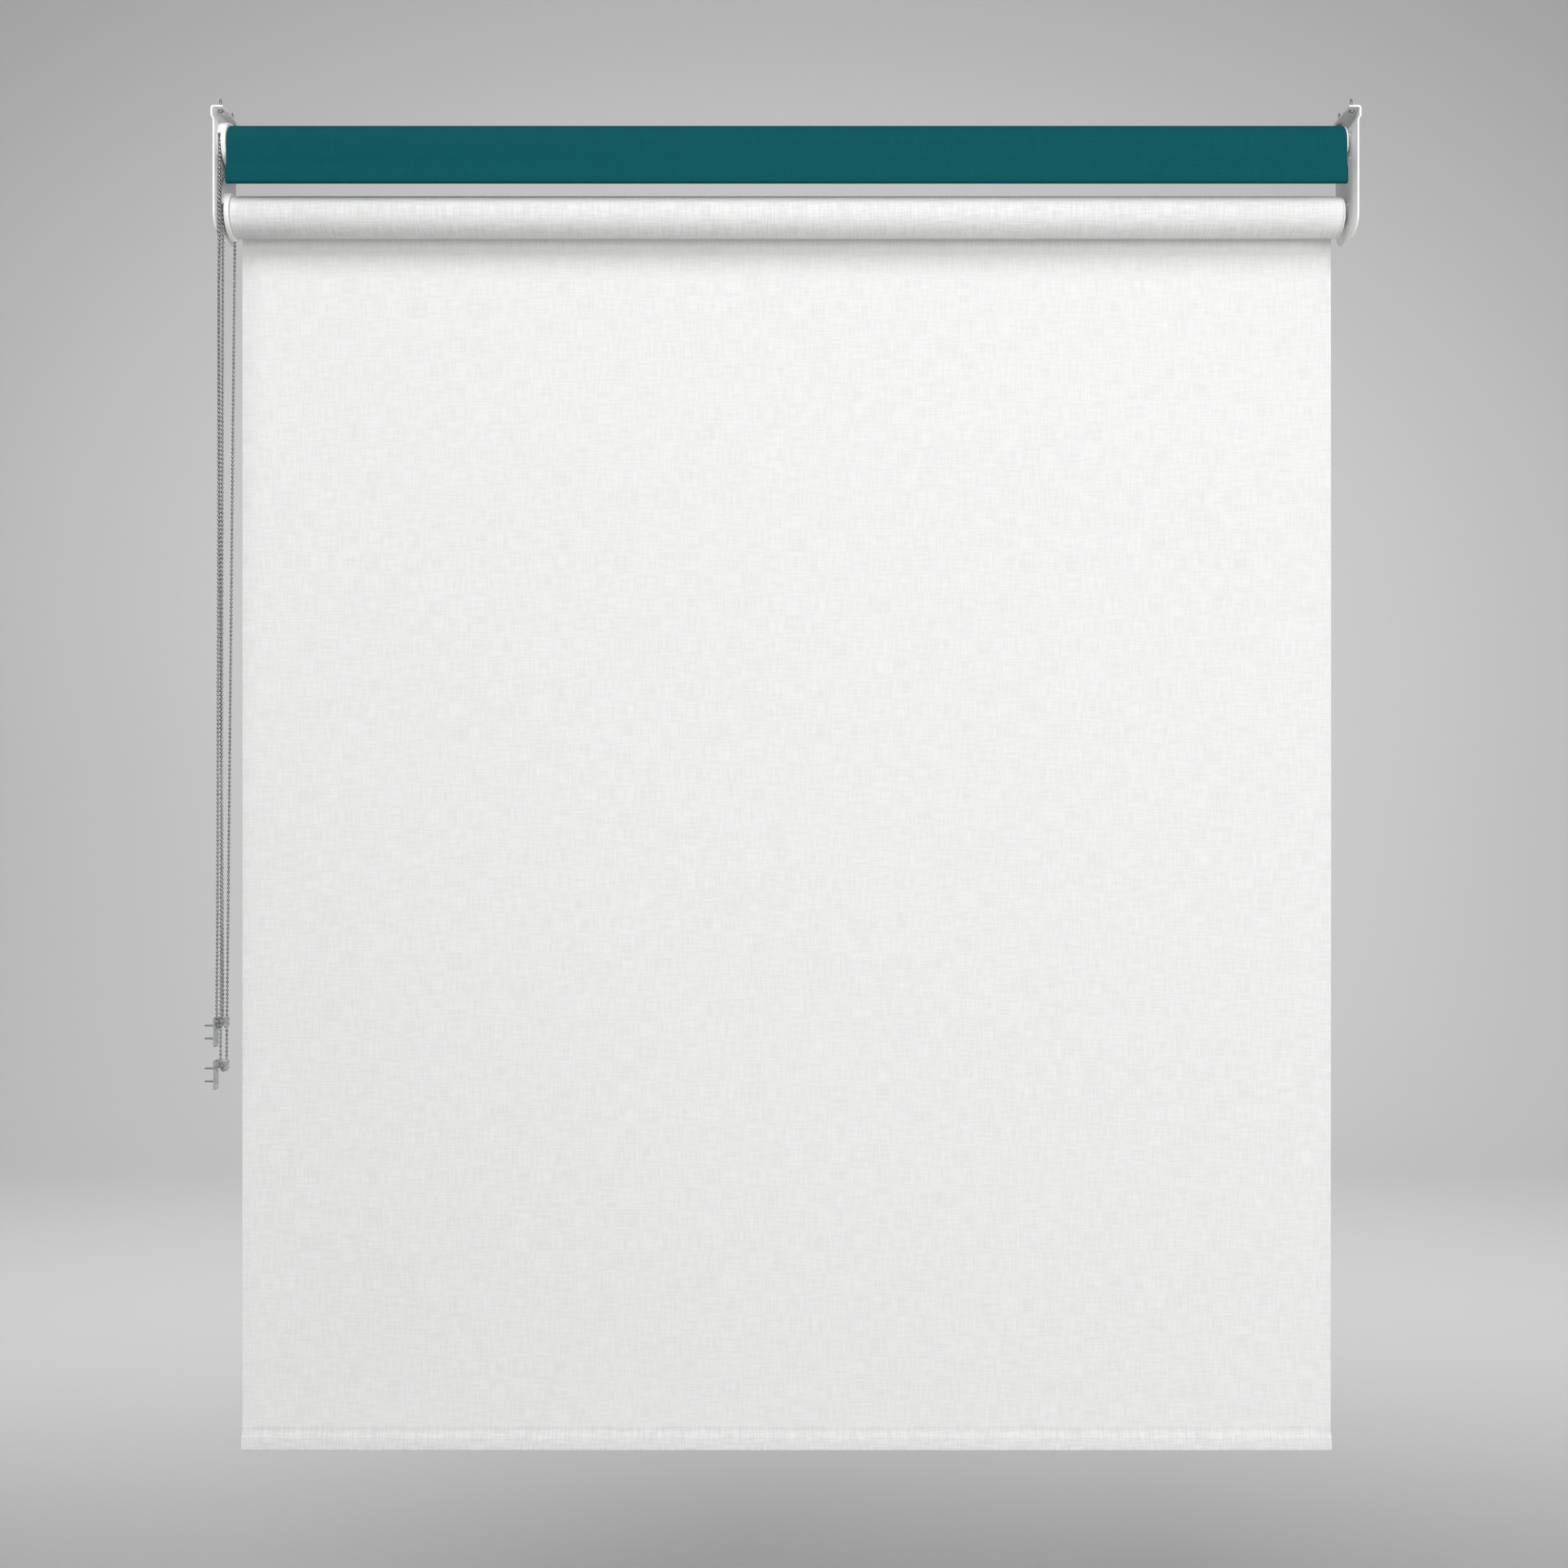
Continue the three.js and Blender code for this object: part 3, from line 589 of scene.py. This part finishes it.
def map_cloth(piece, place, full_turn=math.inf):
    """A map in metres of cloth, across it and along it, as place gives for a vertex.
    Where a face crosses the seam of a roll, its low end is carried on by a full turn."""
    layer = piece.data.uv_layers.new(name="cloth")
    for polygon in piece.data.polygons:
        values = [place(piece.data.vertices[index].co) for index in polygon.vertices]
        furthest = max(along for across, along in values)
        for loop, (across, along) in zip(polygon.loop_indices, values):
            crosses = furthest - along > full_turn / 2
            layer.data[loop].uv = (across, along + full_turn if crosses else along)


def cloth_roll(blind):
    """The wound cloth: its turns show at both ends, where no two lie quite level."""
    axis = AXIS_OF[blind]
    low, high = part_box(f"{blind}_fabric_roll")
    outer = (high[2] - low[2]) / 2
    inner = outer - WOUND_DEPTH
    turn = (outer - inner) / ROLL_TURNS
    rng = random.Random(f"{blind} turns")
    stagger = [rng.uniform(0, TURN_STAGGER) for _ in range(ROLL_TURNS)]

    def end(edge, inward):
        """The end's outline from the outermost turn to the innermost."""
        points = []
        for layer in range(ROLL_TURNS):
            top = outer - layer * turn
            x = edge + inward * stagger[layer]
            points += [
                (x, top - 0.1 * turn),
                (x, top - 0.82 * turn),
                (x + inward * TURN_GROOVE, top - 0.96 * turn),
            ]
        return points

    left = end(low[0], 1)
    right = end(high[0], -1)
    profile = [*reversed(left), (left[0][0] + 0.0001, outer), (right[0][0] - 0.0001, outer), *right]
    piece = turned(f"{blind}_wound_cloth", [*profile, profile[0]], axis, 72)
    full_turn = 2 * math.pi

    def unrolled(at):
        return at.x, outer * (math.atan2(at.y - axis.y, at.z - axis.z) % full_turn)

    map_cloth(piece, unrolled, full_turn * outer)
    smooth(piece, 30)
    # For the sheer, this finish carries painted shade: it is darker than the hanging sheer
    return fit(piece, f"{blind}_fabric_roll", LAYERED_WITH_PAINTED_SHADE[blind])


def drop_box(blind):
    """The hanging cloth's corners: it runs on down to the top of its hem, with no gap."""
    low, high = (Vector(corner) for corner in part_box(f"{blind}_fabric_drop"))
    low.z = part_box(f"{blind}_hem")[1][2]
    return low, high


def cloth_drop(blind, columns, rows, wrap=0.0):
    """The hanging cloth, down into its hem, and the length it is cut to. The last turn before it hangs
    is seen lying on the roll for wrap radians, and sinks into the turns below."""
    low, high = drop_box(blind)
    axis = AXIS_OF[blind]
    plane = (low.y + high.y) / 2
    reach = plane - axis.y
    roll_low, roll_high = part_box(f"{blind}_fabric_roll")
    sunk = (roll_high[2] - roll_low[2]) / 2 - 0.6 * CLOTH
    steps = WRAP_STEPS if wrap else 0
    outline = []
    for step in range(steps, 0, -1):
        share = step / WRAP_STEPS
        radius = abs(reach) + (sunk - abs(reach)) * share
        outline.append((
            axis.y + math.copysign(radius * math.cos(wrap * share), reach),
            high.z + radius * math.sin(wrap * share),
        ))
    tall = high.z - low.z
    outline += [(plane, high.z - tall * step / rows) for step in range(rows + 1)]
    piece = along_x(f"{blind}_hanging_cloth", outline, low.x, high.x, columns)
    sway = min(SWAY, 0.01 * tall)
    for vertex in piece.data.vertices:
        down = max(0, (high.z - vertex.co.z) / tall)
        hang = sway * math.sin(math.pi * down)
        for share, across, along in WAVES:
            vertex.co.y += share * hang * math.sin(across * vertex.co.x + along * down)
    map_cloth(piece, lambda at: (at.x, at.z))
    use(piece, "SOLIDIFY", thickness=CLOTH, offset=0)
    smooth(piece, 50)
    cut_length = length_of([Vector((0, y, z)) for y, z in outline])
    return stand_for(piece, f"{blind}_fabric_drop", FINISHES[f"{blind}_fabric"]), cut_length


def hem_outline(middle, bottom, half, tall):
    """The pocket in (y, z). Its front face is the hanging cloth itself, which goes down, round the bar
    and up the back again, and is welded there behind itself."""
    corner_in = 0.45 * half
    corner_up = 0.0022
    shoulder = tall - WELD

    def face(weld):
        """One face, from the middle of the bottom up to its top edge, which is weld from the middle."""
        points = []
        for step in range(9):
            turn = math.pi / 2 * step / 8
            points.append((half - corner_in * (1 - math.sin(turn)), corner_up * (1 - math.cos(turn))))
        for step in range(1, 11):
            share = step / 10
            lean = 0.5 + 0.5 * math.cos(math.pi * share)
            points.append((weld + (half - weld) * lean, HEM_STRAIGHT + (shoulder - HEM_STRAIGHT) * share))
        points.append((weld, tall))
        return points

    front = [(-y, z) for y, z in reversed(face(0))]
    return [(middle + y, bottom + z) for y, z in [*front, (0, 0), *face(1.05 * CLOTH)]]


def cloth_hem(blind):
    """The welded pocket along the bottom edge."""
    low, high = (Vector(corner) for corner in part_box(f"{blind}_hem"))
    half = (high.y - low.y - CLOTH) / 2
    bottom = low.z + CLOTH / 2
    outline = hem_outline((low.y + high.y) / 2, bottom, half, high.z - bottom)
    piece = along_x(f"{blind}_hem_pocket", outline, low.x, high.x, 30)
    map_cloth(piece, lambda at: (at.x, at.z + 0.5 * (at.y - low.y)))
    use(piece, "SOLIDIFY", thickness=CLOTH, offset=0)
    smooth(piece, 50)
    # For the sheer, this finish carries painted shade: it is darker than the hanging sheer
    return fit(piece, f"{blind}_hem", LAYERED_WITH_PAINTED_SHADE[blind])


# Springs

def coil(name, x0, x1, radius, wire, turns, axis):
    """A wire coil along X: the wire's round end carried round the axis as a screw's thread is."""
    let_go()
    bpy.ops.mesh.primitive_circle_add(
        vertices=8, radius=wire / 2, location=(x0 + wire / 2, axis.y, axis.z), rotation=(math.pi / 2, 0, 0))
    made = start(name)
    edit(made)
    bpy.ops.transform.translate(value=(0, 0, radius))
    let_go()
    use(made, "SCREW", axis="X", steps=16, render_steps=16, iterations=turns,
        screw_offset=(x1 - x0 - wire) / turns)
    edit(made)
    bpy.ops.mesh.fill_holes(sides=0)
    bpy.ops.mesh.normals_make_consistent(inside=False)
    return smooth(settle(made), 60)


def springs(blind):
    axis = AXIS_OF[blind]
    low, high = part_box(f"{blind}_wrap_spring")
    brake = coil(f"{blind}_brake_coil", low[0], high[0], axis=axis, **BRAKE_COIL)
    fit(brake, f"{blind}_wrap_spring", FINISHES["steel"])
    low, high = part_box(f"{blind}_idle_spring")
    push = coil(f"{blind}_push_coil", low[0], high[0], axis=axis, **PUSH_COIL)
    fit(push, f"{blind}_idle_spring", FINISHES["steel"])
    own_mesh(push)


# Screws

def screw_x(name, head, head_height, shank, length, pan, threaded_from):
    """A screw along X, its head's face at x = 0: pan or countersunk head, threads and a cross recess."""
    if pan:
        profile = [(0, 0), (0, 0.45 * head), (0.12 * head_height, 0.78 * head),
                   (0.4 * head_height, 0.97 * head), (0.75 * head_height, head),
                   (head_height, 0.97 * head), (head_height, shank)]
    else:
        profile = [(0, 0), (0, 0.96 * head), (0.06 * head_height, head), (head_height, shank)]
    profile.append((threaded_from, shank))
    turns = int((length - threaded_from - 2 * shank) / THREAD_PITCH)
    for turn in range(turns):
        x = threaded_from + turn * THREAD_PITCH
        profile += [(x + 0.3 * THREAD_PITCH, 0.72 * shank), (x + 0.6 * THREAD_PITCH, 0.72 * shank),
                    (x + 0.8 * THREAD_PITCH, shank)]
    profile += [(length - 1.6 * shank, 0.7 * shank), (length, 0)]
    body = turned(name, profile, Vector((0, 0, 0)), 24)
    for quarter in range(2):
        let_go()
        bpy.ops.mesh.primitive_cube_add(size=1, location=(0, 0, 0))
        tool = start("recess")
        long_side = 1.15 * head
        tool.scale = (1.2 * head_height, RECESS_WIDTH, long_side)
        tool.rotation_euler.x = quarter * math.pi / 2
        settle(tool)
        edit(tool, "FACE")
        bpy.ops.mesh.select_all(action="DESELECT")
        let_go()
        for face in tool.data.polygons:
            face.select = face.normal.x > 0.9
        pick(tool)
        bpy.ops.object.mode_set(mode="EDIT")
        bpy.ops.transform.resize(value=(1, 0.45, 0.45), center_override=(0.6 * head_height, 0, 0))
        let_go()
        cut(body, tool)
    return smooth(body, 30)


def place_screw(master, node_name, turn, axis_word, head_face):
    """A copy of the master screw, turned and set with its head's face at head_face."""
    made = copy_of(master, f"{node_name}_finished")
    edit(made)
    bpy.ops.transform.rotate(value=turn, orient_axis=axis_word, center_override=(0, 0, 0))
    bpy.ops.transform.translate(value=head_face)
    let_go()
    return fit(made, node_name, FINISHES["steel"])


def all_screws():
    pan = screw_x(
        "pan_screw", head=0.0029, head_height=0.0019, shank=0.0015, length=0.0149,
        pan=True, threaded_from=0.004)
    for side in ("left", "right"):
        for place in ("front", "back"):
            low, high = (Vector(c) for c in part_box(f"{side}_bracket_screw_{place}"))
            middle = (low + high) / 2
            place_screw(pan, f"{side}_bracket_screw_{place}", math.pi / 2, "Y", (middle.x, middle.y, low.z))
    sunk = screw_x(
        "sunk_screw", head=0.002, head_height=0.0012, shank=0.0012, length=0.0132,
        pan=False, threaded_from=0.003)
    for blind in BLINDS:
        for place in ("upper", "lower"):
            low, high = (Vector(c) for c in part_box(f"{blind}_clip_screw_{place}"))
            middle = (low + high) / 2
            place_screw(sunk, f"{blind}_clip_screw_{place}", math.pi, "Z", (high.x, middle.y, middle.z))
    discard(pan, sunk)


# Making it

for side in ("left", "right"):
    fit(refined(f"{side}_bracket", 0.00035, 3), f"{side}_bracket", FINISHES["painted_steel"])
all_screws()
for blind in BLINDS:
    for word, bevel in BEVELS.items():
        part = f"{blind}_{word}"
        fit(refined(part, bevel), part, FINISHES[SLOT_OF[part]])
    chain_wheel(blind)
    springs(blind)
    cloth_roll(blind)
    cloth_hem(blind)

sheer_drop, sheer_cut = cloth_drop("sheer", 48, 60)
sheer_low, sheer_high = drop_box("sheer")
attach(sheer_drop, "mounting")
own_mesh(sheer_drop)

blackout_drop, blackout_cut = cloth_drop("blackout", 48, 24, wrap=0.9)
blackout_low, blackout_high = drop_box("blackout")
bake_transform(blackout_drop)


# Studio

def backdrop():
    """A pale floor that sweeps up into a wall, far enough behind to walk round the blind."""
    floor, top = -1.9, 4.5
    front, wall, sweep = -6, 5.0, 1.5
    half_width = 8
    turns = [math.pi / 2 * step / 10 for step in range(1, 11)]
    curve = [
        (wall - sweep + sweep * math.sin(turn), floor + sweep - sweep * math.cos(turn)) for turn in turns
    ]
    outline = [(front, floor), (wall - sweep, floor), *curve, (wall, top)]
    stage = along_x("backdrop", outline, -half_width, half_width, 1)
    smooth(stage, 60)
    paper, shader = new_finish("paper", (0.62, 0.62, 0.62), 0.9)
    stage.data.materials.append(paper)


def softbox(name, place, aim, size, power):
    """A soft light that the camera doesn't see, neither straight nor through the clear clips."""
    let_go()
    bpy.ops.object.light_add(type="AREA", location=place)
    light = bpy.context.object
    light.name = name
    light.data.shape = "RECTANGLE"
    light.data.size, light.data.size_y = size
    light.data.energy = power
    light.visible_camera = False
    light.visible_transmission = False
    light.rotation_euler = (Vector(aim) - Vector(place)).to_track_quat("-Z", "Y").to_euler()
    return light


def behind_cloth():
    """The daylight behind the sheer blind. A grid keeps it off the brackets at its sides."""
    light = softbox("behind", (0, 0.58, -0.86), (0, 0, -0.86), (1.4, 1.5), 3.5)
    light.data.spread = math.radians(50)
    light.visible_glossy = False


backdrop()
softbox("key", (-0.6, -2.4, 1.5), (0, 0, -0.6), (2.2, 1.6), 67)
softbox("fill", (1.4, -2.6, -0.3), (0, 0, -1.2), (1.4, 1.2), 43)
softbox("on_backdrop", (0, 1.4, 0.4), (0, 5, -0.7), (7, 2), 120)
behind_cloth()

world = bpy.context.scene.world or bpy.data.worlds.new("studio")
bpy.context.scene.world = world
world.use_nodes = True
world.node_tree.nodes["Background"].inputs["Color"].default_value = (0.93, 0.93, 0.93, 1)
world.node_tree.nodes["Background"].inputs["Strength"].default_value = 0.27
bpy.context.scene.view_settings.view_transform = "Standard"

let_go()
